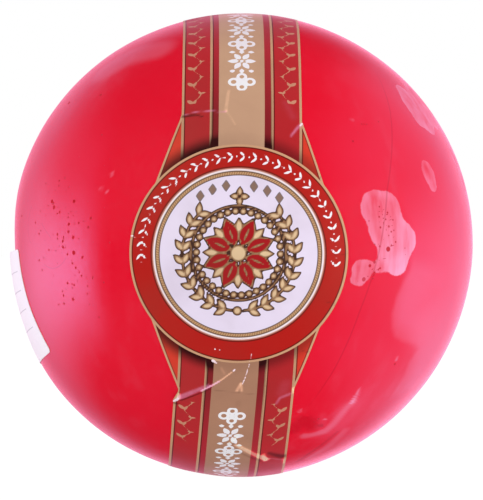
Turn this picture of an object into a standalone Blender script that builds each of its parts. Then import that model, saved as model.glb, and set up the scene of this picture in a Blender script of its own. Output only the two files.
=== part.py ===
"""A whole ball of cheese in its wax rind, with a wrap-round label and a side sticker.

Lengths are metres and angles are degrees. +Z is up, the label's round medallion faces
-Y, and the ball stands on z = 0 on a small flat spot, with its centre over the origin.
"""
import math

import bpy
from mathutils import Vector

# The ball
BALL_RADIUS = 0.0740
FOOT_DEPTH = 0.00035      # how far the wax is pressed flat where the ball stands
BALL_SIDES = 64
BALL_RINGS = 32

# Lumps and dents of the wax: azimuth, height, rise and spread.
LUMPS = (
    (-90.0, -6.0, -0.00215, 10.0),    # the dent behind the sticker
    (-90.0, -35.0, 0.00090, 22.0),    # the swelling under that dent
    (-90.0, -82.0, 0.00027, 22.0),
    (-90.0, 33.0, 0.00010, 9.0),
    (90.0, 25.0, 0.00021, 20.0),
    (90.0, -35.0, -0.00032, 25.0),
)

# The label: a band round the ball, with a round medallion in front of it
GAP = 0.0003              # between the wax and what is stuck on it
LABEL_THICKNESS = 0.00025
BAND_WIDTH = 0.0370
MEDALLION_RADIUS = 0.0345
MEDALLION_HEIGHT = -1.9   # of the medallion's middle, as a turn up from the front
FLARE_ROOT = 17.5         # turn from the medallion's middle at which a flare leaves its rim
FLARE_TIP = 35.6          # turn at which the flare has run into the band
# How far the label's middle line has wandered sideways at each turn up from the front
DRIFT = (
    (-180.0, -2.8), (-95.0, -4.4), (-68.0, -3.5), (-39.0, -1.4),
    (0.0, -0.8), (28.0, 0.0), (74.0, -0.4), (130.0, -1.8), (180.0, -2.8),
)
LABEL_LANES = 10          # strips across the label
FINE_TURN = 2.4           # steps along the label at the medallion and at the foot
COARSE_TURN = 7.0         # and elsewhere

# The sticker on the ball's left side
STICKER_WIDTH = 0.0560
STICKER_HEIGHT = 0.0380
STICKER_CORNER = 0.0030
STICKER_BRIDGE = BALL_RADIUS + 0.0002    # it spans the dent on this sphere
STICKER_EASE = 0.0003     # how gently it leaves the wax there
STICKER_AZIMUTH = -94.5
STICKER_LEVEL = -15.0
STICKER_TILT = 5.0
STICKER_THICKNESS = 0.00025

WAX_RED = (0.62, 0.012, 0.030)
LABEL_GOLD = (0.50, 0.28, 0.17)
STICKER_WHITE = (0.86, 0.83, 0.85)


def direction(azimuth, height):
    """Unit vector, from an azimuth that turns from the front towards +X, and a height."""
    turn, rise = math.radians(azimuth), math.radians(height)
    return Vector((math.sin(turn) * math.cos(rise), -math.cos(turn) * math.cos(rise),
                   math.sin(rise)))


def wax_radius(way):
    """Distance from the ball's centre to the wax, along a unit vector."""
    radius = BALL_RADIUS
    for azimuth, height, rise, spread in LUMPS:
        apart = math.degrees(way.angle(direction(azimuth, height)))
        radius += rise * math.exp(-0.5 * (apart / spread) ** 2)
    return radius


FOOT_DROP = wax_radius(Vector((0, 0, -1))) - FOOT_DEPTH    # from the centre to the wax's foot
CENTRE = Vector((0, 0, FOOT_DROP + GAP + LABEL_THICKNESS))


def smooth_between(knots, place):
    """Value at a place on a curve that eases from knot to knot."""
    for (start, first), (end, last) in zip(knots, knots[1:]):
        if start <= place <= end:
            share = (place - start) / (end - start)
            return first + (last - first) * share * share * (3 - 2 * share)
    raise ValueError(f"{place} lies outside the knots")


def on_wax(way, above):
    """Point at a height above the wax, pressed flat under the ball."""
    point = way * (wax_radius(way) + above)
    point.z = max(point.z, -FOOT_DROP - above)
    return CENTRE + point


def add_object(name, points, faces, colour, roughness, coat=0.0):
    """Object with one material, from its points and faces."""
    mesh = bpy.data.meshes.new(name)
    mesh.from_pydata([tuple(point) for point in points], [], faces)
    mesh.validate()
    mesh.shade_smooth()
    mesh.set_sharp_from_angle(angle=math.radians(40))
    material = bpy.data.materials.new(name)
    material.use_nodes = True
    shader = material.node_tree.nodes["Principled BSDF"]
    shader.inputs["Base Color"].default_value = (*colour, 1)
    shader.inputs["Roughness"].default_value = roughness
    shader.inputs["Coat Weight"].default_value = coat
    mesh.materials.append(material)
    piece = bpy.data.objects.new(name, mesh)
    bpy.context.scene.collection.objects.link(piece)
    return piece


def add_ball():
    """The cheese: one solid, from a flat foot up to the top."""
    foot_radius = math.sqrt((FOOT_DROP + FOOT_DEPTH) ** 2 - FOOT_DROP ** 2)
    lowest = -90 + math.degrees(math.atan2(foot_radius, FOOT_DROP))
    points = []
    for ring in range(BALL_RINGS):
        height = lowest + (90 - lowest) * ring / BALL_RINGS
        for side in range(BALL_SIDES):
            way = direction(360 * side / BALL_SIDES, height)
            point = on_wax(way, 0)
            if ring == 0:
                point = CENTRE + way * (FOOT_DROP / -way.z)
            points.append(point)
    points.append(on_wax(Vector((0, 0, 1)), 0))
    top = len(points) - 1
    faces = [tuple(reversed(range(BALL_SIDES)))]
    for side in range(BALL_SIDES):
        following = (side + 1) % BALL_SIDES
        for ring in range(BALL_RINGS - 1):
            low, high = ring * BALL_SIDES, (ring + 1) * BALL_SIDES
            faces.append((low + side, low + following, high + following, high + side))
        last = (BALL_RINGS - 1) * BALL_SIDES
        faces.append((last + side, last + following, top))
    return add_object("cheese_ball", points, faces, WAX_RED, 0.22, coat=0.6)


def medallion_reach(turn):
    """Half-width of the medallion, as an angle, at a turn from its middle."""
    rim = math.cos(MEDALLION_RADIUS / BALL_RADIUS)
    share = rim / math.cos(math.radians(turn))
    return math.degrees(math.acos(share)) if abs(share) < 1 else 0.0


def half_width(turn):
    """Half-width of the label, as an angle, at a turn up from the front."""
    band = math.degrees(0.5 * BAND_WIDTH / BALL_RADIUS)
    away = abs(turn - MEDALLION_HEIGHT)
    if away <= FLARE_ROOT:
        return medallion_reach(away)
    if away >= FLARE_TIP:
        return band
    share = (away - FLARE_ROOT) / (FLARE_TIP - FLARE_ROOT)
    return medallion_reach(FLARE_ROOT) * (1 - share) + band * share


def label_turns():
    """Turns up from the front at which the label has a row of points."""
    stretches = (
        (-180.0, -100.0, COARSE_TURN), (-100.0, -80.0, FINE_TURN),
        (-80.0, MEDALLION_HEIGHT - FLARE_TIP, COARSE_TURN),
        (MEDALLION_HEIGHT - FLARE_TIP, MEDALLION_HEIGHT - FLARE_ROOT, COARSE_TURN),
        (MEDALLION_HEIGHT - FLARE_ROOT, MEDALLION_HEIGHT + FLARE_ROOT, FINE_TURN),
        (MEDALLION_HEIGHT + FLARE_ROOT, MEDALLION_HEIGHT + FLARE_TIP, COARSE_TURN),
        (MEDALLION_HEIGHT + FLARE_TIP, 180.0, COARSE_TURN),
    )
    turns = []
    for start, end, step in stretches:
        count = math.ceil((end - start) / step)
        turns += [start + (end - start) * index / count for index in range(count)]
    return turns


def label_way(turn, across):
    """Direction to a point of the label, across being -1 to 1 over its width."""
    side = math.radians(smooth_between(DRIFT, turn) + across * half_width(turn))
    along = math.radians(turn)
    return Vector((math.sin(side), -math.cos(side) * math.cos(along),
                   math.cos(side) * math.sin(along)))


def add_label():
    """Band and medallion: one closed loop of thin sheet round the ball."""
    turns = label_turns()
    lanes = [2 * lane / LABEL_LANES - 1 for lane in range(LABEL_LANES + 1)]
    points = []
    for turn in turns:
        ways = [label_way(turn, across) for across in lanes]
        points += [on_wax(way, GAP + LABEL_THICKNESS) for way in ways]
        points += [on_wax(way, GAP) for way in reversed(ways)]
    loop = 2 * len(lanes)
    faces = []
    for row in range(len(turns)):
        this, after = row * loop, (row + 1) % len(turns) * loop
        for place in range(loop):
            beside = (place + 1) % loop
            faces.append((this + place, this + beside, after + beside, after + place))
    return add_object("band_label", points, faces, LABEL_GOLD, 0.35, coat=0.3)


def sticker_rows():
    """Heights of the sticker's rows from its middle, with half its width at each."""
    half_height, straight = STICKER_HEIGHT / 2, STICKER_HEIGHT / 2 - STICKER_CORNER
    corner = [straight + STICKER_CORNER * math.sin(math.radians(angle))
              for angle in (0, 30, 60, 90)]
    inner = [straight * step / 4 for step in range(-3, 4)]
    heights = [-height for height in reversed(corner)] + inner + corner
    rows = []
    for height in heights:
        over = max(0.0, min(abs(height), half_height) - straight)
        cut = STICKER_CORNER - math.sqrt(max(0.0, STICKER_CORNER ** 2 - over ** 2))
        rows.append((height, STICKER_WIDTH / 2 - cut))
    return rows


def sticker_radius(way):
    """Distance from the ball's centre to the sticker's back, along a unit vector."""
    stuck = wax_radius(way) + GAP
    apart = math.hypot(stuck - STICKER_BRIDGE, STICKER_EASE)
    return 0.5 * (stuck + STICKER_BRIDGE + apart)


def add_sticker():
    """A thin rounded sheet that lies on the wax and spans the dent."""
    middle = direction(STICKER_AZIMUTH, STICKER_LEVEL)
    level = Vector((0, 0, 1)).cross(middle).normalized()
    tilt = math.radians(STICKER_TILT)
    upright = middle.cross(level)
    sideways = level * math.cos(tilt) + upright * math.sin(tilt)
    upwards = middle.cross(sideways)
    lanes = [2 * lane / 12 - 1 for lane in range(13)]
    rows = sticker_rows()
    sheets = []
    for above in (STICKER_THICKNESS, 0):
        for height, half in rows:
            for across in lanes:
                flat = middle * BALL_RADIUS + upwards * height + sideways * across * half
                way = flat.normalized()
                sheets.append(CENTRE + way * (sticker_radius(way) + above))
    width, depth = len(lanes), len(rows)
    inner = width * depth
    faces = []
    for row in range(depth - 1):
        for lane in range(width - 1):
            corner = row * width + lane
            face = (corner, corner + 1, corner + width + 1, corner + width)
            faces.append(face)
            faces.append(tuple(inner + index for index in reversed(face)))
    rim = list(range(width)) + [row * width + width - 1 for row in range(1, depth)]
    rim += [(depth - 1) * width + lane for lane in range(width - 2, -1, -1)]
    rim += [row * width for row in range(depth - 2, 0, -1)]
    for first, second in zip(rim, rim[1:] + rim[:1]):
        faces.append((second, first, inner + first, inner + second))
    return add_object("side_sticker", sheets, faces, STICKER_WHITE, 0.4)


def main():
    """Empty the scene and build the ball, its label and its sticker."""
    for leftover in list(bpy.data.objects):
        bpy.data.objects.remove(leftover)
    add_ball()
    add_label()
    add_sticker()


main()
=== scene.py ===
"""Looks of the ball of cheese: red wax, a printed wrap-round label and a side sticker.

Lengths are metres where they are places, and millimetres where a name ends in _MM or
where a value is a place on the label's sheet. Angles are degrees. An azimuth turns from
the front, -Y, towards +X. A turn goes up from the front and over the top.
"""
import math

import bpy
import numpy as np
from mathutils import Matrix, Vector, noise


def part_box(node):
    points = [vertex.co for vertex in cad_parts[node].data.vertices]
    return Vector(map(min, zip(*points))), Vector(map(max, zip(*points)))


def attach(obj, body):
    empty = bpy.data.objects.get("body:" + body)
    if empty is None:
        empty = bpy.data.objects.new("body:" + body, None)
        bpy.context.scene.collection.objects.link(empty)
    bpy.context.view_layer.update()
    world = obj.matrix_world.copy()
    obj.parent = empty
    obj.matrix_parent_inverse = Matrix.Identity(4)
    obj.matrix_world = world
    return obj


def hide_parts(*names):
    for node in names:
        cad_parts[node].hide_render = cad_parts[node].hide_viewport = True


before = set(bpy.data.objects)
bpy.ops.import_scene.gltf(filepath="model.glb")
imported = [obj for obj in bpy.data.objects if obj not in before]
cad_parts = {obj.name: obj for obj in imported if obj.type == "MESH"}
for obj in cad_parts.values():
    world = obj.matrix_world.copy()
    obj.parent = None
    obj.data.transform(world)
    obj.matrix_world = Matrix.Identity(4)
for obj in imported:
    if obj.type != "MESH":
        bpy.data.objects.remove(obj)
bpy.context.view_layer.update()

# The ball, as in the part's source
BALL_RADIUS = 0.0740
FOOT_DEPTH = 0.00035
LUMPS = (
    (-90.0, -6.0, -0.00215, 10.0),
    (-90.0, -35.0, 0.00090, 22.0),
    (-90.0, -82.0, 0.00027, 22.0),
    (-90.0, 33.0, 0.00010, 9.0),
    (90.0, 25.0, 0.00021, 20.0),
    (90.0, -35.0, -0.00032, 25.0),
)
SKIN = 0.00035            # the wax is this much larger here, which closes the solids' gap
BALL_CELLS = 120          # squares along each of the six sides of the wax mesh

# The label, much as in the part's source
BAND_WIDTH = 0.0367
MEDALLION_RADIUS = 0.0341
MEDALLION_TURN = -2.44
MEDALLION_SIDE = -0.8
DRIFT = (
    (-180.0, -2.4), (-100.0, -4.4), (-80.0, -4.05), (-60.0, -3.2), (-42.0, -2.15),
    (-32.0, -1.45), (0.0, -0.6), (28.0, 0.0), (50.0, 0.0), (70.0, -0.15), (180.0, -2.4),
)
# Turn from the medallion's middle at which each flare leaves the rim and joins the band
FLARES = {
    ("left", "top"): (17.9, 35.4), ("right", "top"): (17.3, 33.6),
    ("left", "bottom"): (16.6, 35.4), ("right", "bottom"): (18.4, 34.8),
}
TUCK = 1.0                # the pleat draws in the left edge above it by this angle
SHEET_ABOVE = 0.00016     # the printed face above the wax
LABEL_LANES = 110
LABEL_TILT = 1.3          # clockwise lean of the medallion's print

# The sticker
STICKER_WIDTH = 0.0560
STICKER_HEIGHT = 0.0372
STICKER_CORNER = 0.0018
STICKER_BRIDGE = BALL_RADIUS + 0.0002 + SKIN
STICKER_AZIMUTH = -89.1
STICKER_LEVEL = -16.5
STICKER_TILT = 4.0
STICKER_SLANT = 0.14

MM = 1000.0


# ---------------------------------------------------------------- places on the ball

def unit(azimuth, height):
    """Unit vector, or an array of them, from angles in degrees."""
    turn, rise = np.radians(azimuth), np.radians(height)
    return np.stack([np.sin(turn) * np.cos(rise), -np.cos(turn) * np.cos(rise),
                     np.sin(rise)], axis=-1)


def apart(ways, azimuth, height):
    """Angle in degrees from each unit vector to one direction."""
    return np.degrees(np.arccos(np.clip(ways @ unit(azimuth, height), -1, 1)))


def wax_radius(ways):
    """Distance from the ball's centre to the wax along each unit vector."""
    radius = np.full(len(ways), BALL_RADIUS + SKIN)
    for azimuth, height, rise, spread in LUMPS:
        radius += rise * np.exp(-0.5 * (apart(ways, azimuth, height) / spread) ** 2)
    return radius


DOWN = np.array([[0.0, 0.0, -1.0]])
FOOT_DROP = wax_radius(DOWN)[0] - FOOT_DEPTH
CENTRE = np.array([0.0, 0.0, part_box("cheese_ball")[1].z - (wax_radius(-DOWN)[0] - SKIN)])


def place(ways, radius, above=0.0):
    """Points at a distance from the centre, pressed flat where the ball stands."""
    points = ways * np.reshape(radius, (-1, 1))
    points[:, 2] = np.maximum(points[:, 2], -FOOT_DROP - above)
    return CENTRE + points


def ripple(ways, length_mm, seed):
    """Smooth noise from -1 to 1 whose waves are about that long on the ball."""
    scale = BALL_RADIUS * MM / length_mm
    shift = Vector((seed * 7.3, seed * 3.1, seed * 5.7))
    return np.array([noise.noise(Vector(way) * scale + shift) for way in ways.tolist()])


def ease(value, low, high):
    """0 below low, 1 above high, and a smooth step between."""
    share = np.clip((value - low) / (high - low), 0, 1)
    return share * share * (3 - 2 * share)


# ---------------------------------------------------------------- meshes

def add_mesh(name, points, faces, fields):
    """Object from points and quads, with named fields stored on its points."""
    mesh = bpy.data.meshes.new(name)
    mesh.from_pydata(points.tolist(), [], faces.tolist())
    for field, values in fields.items():
        store = mesh.attributes.new(field, "FLOAT_VECTOR", "POINT")
        store.data.foreach_set("vector", np.asarray(values, dtype=np.float32).ravel())
    mesh.shade_smooth()
    piece = bpy.data.objects.new(name, mesh)
    bpy.context.scene.collection.objects.link(piece)
    return piece


def cube_sphere(cells):
    """Unit vectors and quads of a sphere made of six equally divided sides."""
    steps = np.tan(np.linspace(-math.pi / 4, math.pi / 4, cells + 1))
    across, up = np.meshgrid(steps, steps, indexing="ij")
    flat = np.ones_like(across)
    sides = [(across, up, flat), (up, across, -flat), (flat, across, up),
             (-flat, up, across), (up, flat, across), (across, -flat, up)]
    ways = np.concatenate([np.stack(side, axis=-1).reshape(-1, 3) for side in sides])
    ways /= np.linalg.norm(ways, axis=1, keepdims=True)
    keys, first, same = np.unique(np.round(ways, 6) + 0.0, axis=0, return_index=True,
                                  return_inverse=True)
    index = np.arange((cells + 1) ** 2).reshape(cells + 1, cells + 1)
    quad = np.stack([index[:-1, :-1], index[1:, :-1], index[1:, 1:], index[:-1, 1:]],
                    axis=-1).reshape(-1, 4)
    quads = np.concatenate([quad + side * index.size for side in range(6)])
    return ways[first], same.ravel()[quads]


# ---------------------------------------------------------------- node trees

class Nodes:
    """Short calls that add nodes to one tree."""

    def __init__(self, tree):
        self.tree = tree

    def node(self, kind, **settings):
        """A new node with its settings."""
        made = self.tree.nodes.new(kind)
        for setting, value in settings.items():
            setattr(made, setting, value)
        return made

    def feed(self, socket, value):
        """Links a socket to another, or sets it to a number or a colour."""
        if isinstance(value, bpy.types.NodeSocket):
            self.tree.links.new(value, socket)
        else:
            socket.default_value = value

    def maths(self, operation, *values, clamp=False):
        """Result of a Math node."""
        made = self.node("ShaderNodeMath", operation=operation, use_clamp=clamp)
        for socket, value in zip(made.inputs, values):
            self.feed(socket, value)
        return made.outputs[0]

    def field(self, name):
        """The three numbers of a field that the mesh's points hold."""
        stored = self.node("ShaderNodeAttribute", attribute_name=name)
        split = self.node("ShaderNodeSeparateXYZ")
        self.feed(split.inputs[0], stored.outputs["Vector"])
        return split.outputs

    def step(self, value, low, high, first=0.0, last=1.0):
        """Value mapped from low-high to first-last, held at both ends."""
        made = self.node("ShaderNodeMapRange", interpolation_type="SMOOTHSTEP")
        for socket, number in zip(made.inputs, (value, low, high, first, last)):
            self.feed(socket, number)
        return made.outputs[0]

    def mix(self, factor, first, second):
        """Colour between two colours."""
        made = self.node("ShaderNodeMix", data_type="RGBA")
        self.feed(made.inputs[0], factor)
        self.feed(made.inputs[6], first)
        self.feed(made.inputs[7], second)
        return made.outputs[2]

    def shaded(self, colour, times):
        """A colour made lighter or darker, and held at full white."""
        made = self.node("ShaderNodeVectorMath", operation="SCALE")
        self.feed(made.inputs[0], colour)
        self.feed(made.inputs["Scale"], times)
        held = self.node("ShaderNodeVectorMath", operation="MINIMUM")
        self.feed(held.inputs[0], made.outputs[0])
        self.feed(held.inputs[1], (0.9, 0.9, 0.9))
        return held.outputs[0]

    def grain(self, scale, detail=2.0, rough=0.5, stretch=None):
        """Noise over the object, in waves per metre."""
        where = self.node("ShaderNodeTexCoord").outputs["Object"]
        if stretch:
            shrink = self.node("ShaderNodeMapping")
            self.feed(shrink.inputs[0], where)
            shrink.inputs["Scale"].default_value = stretch
            where = shrink.outputs[0]
        made = self.node("ShaderNodeTexNoise")
        self.feed(made.inputs["Vector"], where)
        made.inputs["Scale"].default_value = scale
        made.inputs["Detail"].default_value = detail
        made.inputs["Roughness"].default_value = rough
        return made.outputs[0]

    def dots(self, scale):
        """Distance to the nearest of many scattered points in cell widths, and its chance."""
        where = self.node("ShaderNodeTexCoord").outputs["Object"]
        made = self.node("ShaderNodeTexVoronoi", feature="F1")
        self.feed(made.inputs["Vector"], where)
        made.inputs["Scale"].default_value = scale
        split = self.node("ShaderNodeSeparateXYZ")
        self.feed(split.inputs[0], made.outputs["Color"])
        return made.outputs["Distance"], split.outputs[0]

    def bump(self, height, distance, strength=1.0, under=None):
        """Normal of a surface raised by a height field."""
        made = self.node("ShaderNodeBump")
        made.inputs["Strength"].default_value = strength
        made.inputs["Distance"].default_value = distance
        self.feed(made.inputs["Height"], height)
        if under:
            self.feed(made.inputs["Normal"], under)
        return made.outputs[0]


class Inks(Nodes):
    """A new material and the nodes of its tree."""

    def __init__(self, name):
        self.material = bpy.data.materials.new(name)
        self.material.use_nodes = True
        super().__init__(self.material.node_tree)
        self.shader = self.tree.nodes["Principled BSDF"]

    def set(self, **values):
        """Constants of the shader, named with _ for a space."""
        for name, value in values.items():
            self.shader.inputs[name.replace("_", " ")].default_value = value


def rgb(red, green, blue):
    """Scene colour from the 0-255 values seen on a screen."""
    values = []
    for part in (red, green, blue):
        share = part / 255
        values.append(share / 12.92 if share <= 0.04045 else ((share + 0.055) / 1.055) ** 2.4)
    return (*values, 1.0)


# ---------------------------------------------------------------- the wax

# Places where the wax has lost its deep gloss and a pale pink reflection is painted on it:
# azimuth, height, radius in millimetres and how strong its milkiness and painted reflection are
BLOOM_AND_SHEEN = (
    (33.6, 8.6, 5.4, 0.20), (37.2, 8.4, 5.0, 0.24), (36.2, 4.2, 6.4, 0.32),
    (39.4, 1.6, 6.0, 0.42), (42.4, 1.0, 4.4, 0.46), (37.8, -1.2, 4.6, 0.45),
    (40.0, -4.1, 4.2, 0.66),
    (63.5, 40.3, 3.0, 0.20), (62.4, 36.5, 4.0, 0.24), (62.8, 32.5, 4.2, 0.26),
    (66.5, 30.6, 3.6, 0.24), (69.5, 36.0, 5.0, 0.26), (74.0, 33.0, 4.5, 0.26),
    (74.0, 40.0, 5.0, 0.22), (80.0, 37.0, 5.0, 0.24),
    (54.4, 18.6, 2.5, 0.09), (54.9, 16.6, 2.6, 0.09), (55.5, 14.2, 1.8, 0.09),
    (78.0, 22.0, 3.4, 0.15), (80.0, 16.0, 3.6, 0.15),
    (28.6, -5.4, 1.9, 0.15), (30.8, -5.2, 1.8, 0.16), (28.3, -8.2, 1.9, 0.17),
    (30.2, -7.3, 1.6, 0.14), (33.6, -5.2, 1.2, 0.10), (35.4, -5.4, 1.1, 0.12),
)
BLEND = 1.1               # how softly neighbouring discs of bloom and painted reflection run together
# The fine seam line down the right side of the front, as azimuth and height
SEAM = ((20.3, -45.0), (26.2, -31.1), (30.2, -15.6), (34.0, -2.5), (37.8, 12.9),
        (48.4, 34.2), (59.0, 50.5))
# The sharp front edge of a zone low on the right where the wax is dull and a pale reflection is
# painted on it
DULL_SHEEN_EDGE = ((45.7, -1.3), (44.9, -6.1), (42.8, -9.2), (41.2, -12.8), (40.7, -16.5),
             (41.8, -19.9), (43.5, -22.0), (46.6, -23.2), (53.0, -24.4), (56.0, -25.8),
             (54.4, -29.4), (55.5, -33.2), (55.4, -38.8), (56.8, -42.6))
SCRATCH = ((-57.6, 5.4), (-55.0, 3.4), (-52.1, 1.3))
# Separate pits: azimuth, height and radius in millimetres
PITS = (
    (36.9, -1.1, 0.80), (31.7, -5.0, 0.50), (33.2, -6.6, 0.34), (34.7, -5.6, 0.34),
    (32.8, -8.0, 0.30), (-53.5, 10.4, 0.55), (-44.8, 10.3, 0.60), (-45.8, 4.8, 0.50),
    (-42.4, 5.1, 0.34), (-38.6, 6.2, 0.42), (-47.8, 0.8, 0.46), (-46.8, -9.2, 0.40),
    (-66.8, 37.0, 0.55), (-49.2, 38.8, 0.50), (-70.0, 7.0, 0.50), (-40.5, 27.0, 0.30),
    (-52.0, 15.4, 0.34), (-58.0, 14.8, 0.30), (47.4, -29.9, 0.40), (30.3, 25.1, 0.36),
    (-53.3, -1.3, 0.30), (-50.5, -1.5, 0.26), (-46.2, -2.3, 0.34), (-43.4, -5.5, 0.34),
    (-41.6, -7.4, 0.30), (-44.5, -9.6, 0.34), (-49.0, -12.2, 0.40), (-56.8, -6.1, 0.34),
    (-50.5, 7.4, 0.30), (-57.2, 3.3, 0.28), (-71.8, -2.9, 0.34), (-38.2, -8.0, 0.28),
    (34.8, 8.9, 0.28), (37.1, 7.5, 0.34), (36.4, 5.9, 0.30), (38.6, 5.8, 0.28),
    (34.5, 6.5, 0.30), (34.7, 4.0, 0.34), (37.9, 3.0, 0.30), (39.2, 0.6, 0.30),
    (34.8, 29.8, 0.30), (36.5, 29.8, 0.26), (41.2, 30.6, 0.26), (27.6, -46.5, 0.40),
    (150.0, 22.0, 0.60), (118.0, -14.0, 0.50), (-140.0, 30.0, 0.60), (-122.0, -24.0, 0.50),
)
# Where fine pits crowd: azimuth, height, radius in millimetres and how many
PITTED = ((-47.0, 0.0, 20.0, 0.9), (-50.0, 14.0, 16.0, 0.4), (37.0, 2.0, 8.0, 1.0),
          (30.5, -6.5, 4.5, 1.3), (-42.0, -14.0, 12.0, 0.6), (120.0, 10.0, 30.0, 0.5),
          (-150.0, -10.0, 26.0, 0.5))
# Light (above 0) and shade on wrinkles of the wax: azimuths and heights, width at each
# end and softness in millimetres, strength
WRINKLES = (
    (((37.7, -37.2), (37.7, -39.8), (37.6, -41.2)), 0.1, 0.6, 0.7, 0.55),
    (((37.9, -41.0), (36.8, -43.2), (35.9, -46.3), (35.4, -48.8), (34.1, -51.4),
      (29.3, -52.4), (26.2, -53.0)), 1.4, 2.2, 1.4, 0.20),
    (((19.4, -43.6), (19.5, -43.9)), 0.3, 0.3, 0.7, 0.35),
    (((21.8, -44.8), (22.4, -45.0)), 0.4, 0.3, 0.7, 0.35),
    (((28.6, -47.9), (29.2, -47.6), (30.4, -46.8)), 0.4, 0.3, 0.7, 0.40),
    (((40.6, -52.0), (39.0, -57.4), (37.6, -61.4), (37.2, -66.9)), 0.4, 0.8, 1.0, -0.7),
    (((44.1, -51.7), (44.4, -58.8), (41.1, -64.8)), 1.6, 1.6, 2.0, 0.12),
    (((27.0, -49.0), (22.0, -47.0), (20.0, -50.0)), 4.0, 4.0, 3.0, -0.5),
    (((31.2, -49.3), (30.2, -49.0)), 0.6, 0.6, 0.8, -0.6),
    (((-33.7, 16.7), (-34.0, 16.9)), 0.3, 0.3, 0.6, 0.4),
    (((-36.4, 13.1), (-36.4, 13.3)), 0.3, 0.3, 0.6, 0.4),
    (((-34.4, 12.4), (-34.6, 12.5)), 0.2, 0.2, 0.6, 0.3),
    (((47.1, -28.3), (47.2, -28.6)), 0.2, 0.2, 0.6, 0.4),
    (((31.8, 30.8), (32.0, 31.0)), 0.2, 0.2, 0.6, 0.3),
    (((-38.0, 55.0), (-50.0, 53.0), (-58.0, 48.0)), 8.0, 9.0, 4.0, 0.15),
)
# Dents and swellings of the wax: azimuth, height, radius in millimetres and rise in microns
DENTS = (
    (20.7, -43.2, 2.2, -70.0), (26.2, -45.8, 2.0, 60.0), (31.5, -47.7, 2.4, -80.0),
    (31.8, -44.6, 1.8, 60.0), (23.8, -48.7, 2.0, -60.0), (36.8, -39.0, 2.6, 60.0),
    (36.6, -44.0, 2.6, -60.0), (30.0, -51.0, 3.0, 70.0), (-34.5, 16.6, 1.3, 50.0),
    (31.8, 30.8, 1.6, 45.0), (-40.0, 56.0, 5.0, -60.0), (44.0, 51.0, 4.0, -60.0),
    (-49.0, -3.0, 4.0, -50.0), (-60.0, -22.0, 6.0, 60.0), (60.0, -8.0, 7.0, 60.0),
)


def plan(ways, azimuth, height):
    """Places about one direction, in millimetres to the right and up over the ball."""
    middle = unit(azimuth, height)
    right = np.cross([0, 0, 1.0], middle)
    right /= np.linalg.norm(right)
    across, up = ways @ right, ways @ np.cross(middle, right)
    reach = np.arccos(np.clip(ways @ middle, -1, 1)) * BALL_RADIUS * MM
    scale = reach / np.maximum(np.hypot(across, up), 1e-9)
    return across * scale, up * scale


def to_line(t, s, places):
    """Signed distance to a bent line, and the share of its length at the nearest place."""
    nearest = np.full(len(t), np.inf)
    signed, share = np.zeros(len(t)), np.zeros(len(t))
    lengths = [math.dist(a, b) for a, b in zip(places, places[1:])]
    passed = 0.0
    for (start, end), length in zip(zip(places, places[1:]), lengths):
        along = np.array([end[0] - start[0], end[1] - start[1]]) / length
        near = np.clip((t - start[0]) * along[0] + (s - start[1]) * along[1], 0, length)
        off_t, off_s = t - start[0] - near * along[0], s - start[1] - near * along[1]
        gap = np.hypot(off_t, off_s)
        side = np.where(along[0] * off_s - along[1] * off_t >= 0, 1.0, -1.0)
        closer = gap < nearest
        nearest = np.where(closer, gap, nearest)
        signed = np.where(closer, gap * side, signed)
        share = np.where(closer, (passed + near) / sum(lengths), share)
        passed += length
    return signed, share


def beside_line(ways, places):
    """Signed millimetres to a line of azimuths and heights, and the share along it."""
    middle = places[len(places) // 2]
    knots = np.array(places)
    line = np.stack(plan(unit(knots[:, 0], knots[:, 1]), *middle), axis=-1)
    return to_line(*plan(ways, *middle), [tuple(knot) for knot in line.tolist()])


def bloom_and_sheen_fields(ways):
    """Millimetres to the edge of the nearest bloom patch, less than 0 inside, and the strength of
    its milkiness and painted reflection.
    """
    total, milkiness_and_sheen = np.zeros(len(ways)), np.zeros(len(ways))
    for azimuth, height, radius, strength in BLOOM_AND_SHEEN:
        gap = np.radians(apart(ways, azimuth, height)) * BALL_RADIUS * MM - radius
        weight = np.exp(-np.clip(gap, -30, 30) / BLEND)
        total += weight
        milkiness_and_sheen += weight * strength
    return -BLEND * np.log(total + 1e-12), milkiness_and_sheen / (total + 1e-12)


def wrinkles(ways):
    """Light and shade of the wrinkles at each point."""
    total = np.zeros(len(ways))
    for places, first, last, soft, strength in WRINKLES:
        gap, share = beside_line(ways, places)
        inside = 0.5 * (first + (last - first) * share) - np.abs(gap)
        total += strength * ease(inside, -soft, 0.3 * soft)
    return total


def crowd(ways):
    """How thickly fine pits lie, from 0 up."""
    total = np.full(len(ways), 0.15)
    for azimuth, height, radius, share in PITTED:
        gap = np.radians(apart(ways, azimuth, height)) * BALL_RADIUS * MM
        total += share * np.exp(-(gap / radius) ** 2)
    return total


def nearest_pit(ways):
    """Millimetres across and up from the nearest pit of the list, and its radius."""
    best = np.full(len(ways), np.inf)
    found = np.zeros((len(ways), 3))
    for azimuth, height, radius in PITS:
        gap = apart(ways, azimuth, height)
        across, up = plan(ways, azimuth, height)
        closer = gap < best
        best = np.where(closer, gap, best)
        here = np.stack([across, up, np.full(len(ways), radius)], axis=-1)
        found = np.where(closer[:, None], here, found)
    return found


def wax_relief(ways):
    """Height of the wax's waves and dents over its plain form, in metres."""
    height = 0.10 * ripple(ways, 26, 1) + 0.045 * ripple(ways, 11, 2)
    height += 0.012 * ripple(ways, 5, 3)
    for azimuth, up, radius, rise in DENTS:
        gap = np.radians(apart(ways, azimuth, up)) * BALL_RADIUS * MM
        height += rise / MM * np.exp(-(gap / radius) ** 2)
    return height / MM


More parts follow.
